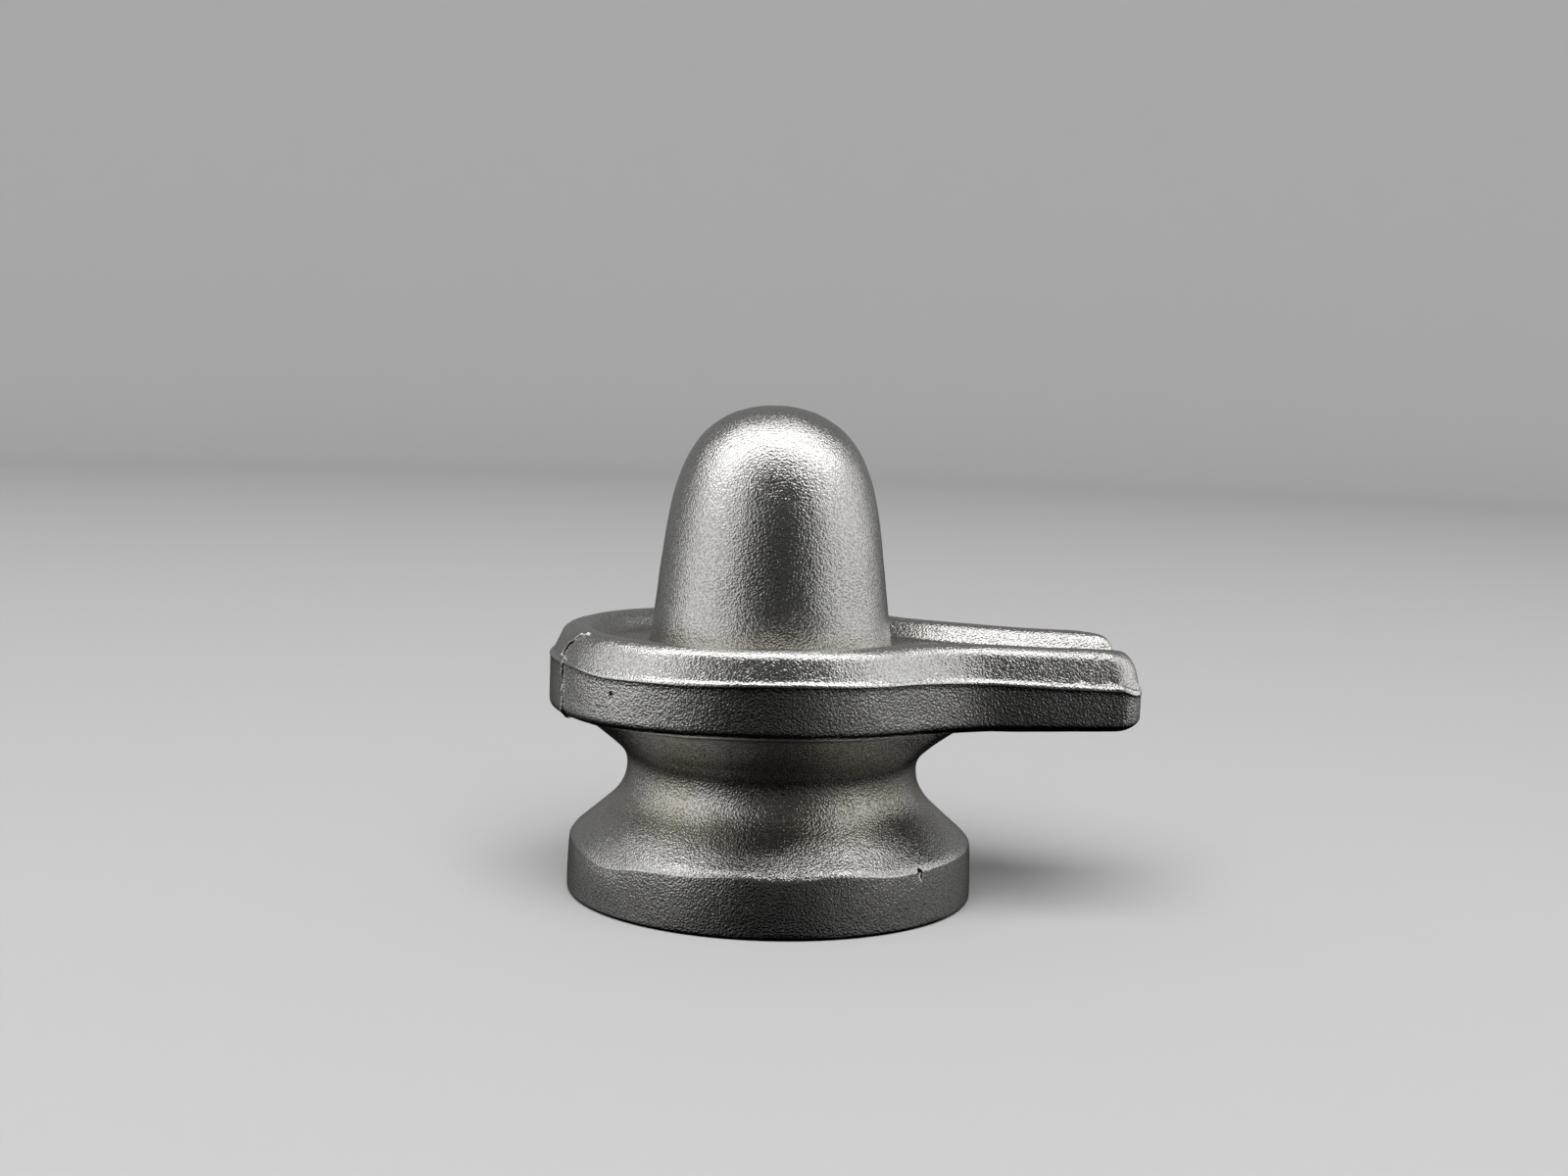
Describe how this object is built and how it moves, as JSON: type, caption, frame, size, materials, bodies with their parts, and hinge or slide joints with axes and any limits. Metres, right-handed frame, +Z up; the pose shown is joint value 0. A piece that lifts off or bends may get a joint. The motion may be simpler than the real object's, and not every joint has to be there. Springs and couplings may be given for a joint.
{
  "type": "shiva lingam",
  "caption": "Small cast-metal shiva lingam: a rounded pillar in a shallow keyhole-shaped basin with an open spout, on a hollow-necked round foot.",
  "frame": {"origin": "centre of the round foot's flat underside", "axes": "+X along the spout towards its tip, +Z up the pillar"},
  "size_m": [0.0455, 0.0328, 0.0382],
  "materials": {
    "cast_metal": "frosty as-cast silver-grey white metal"
  },
  "bodies": {
    "root": {"shiva_lingam": "cast_metal"}
  },
  "joints": []
}
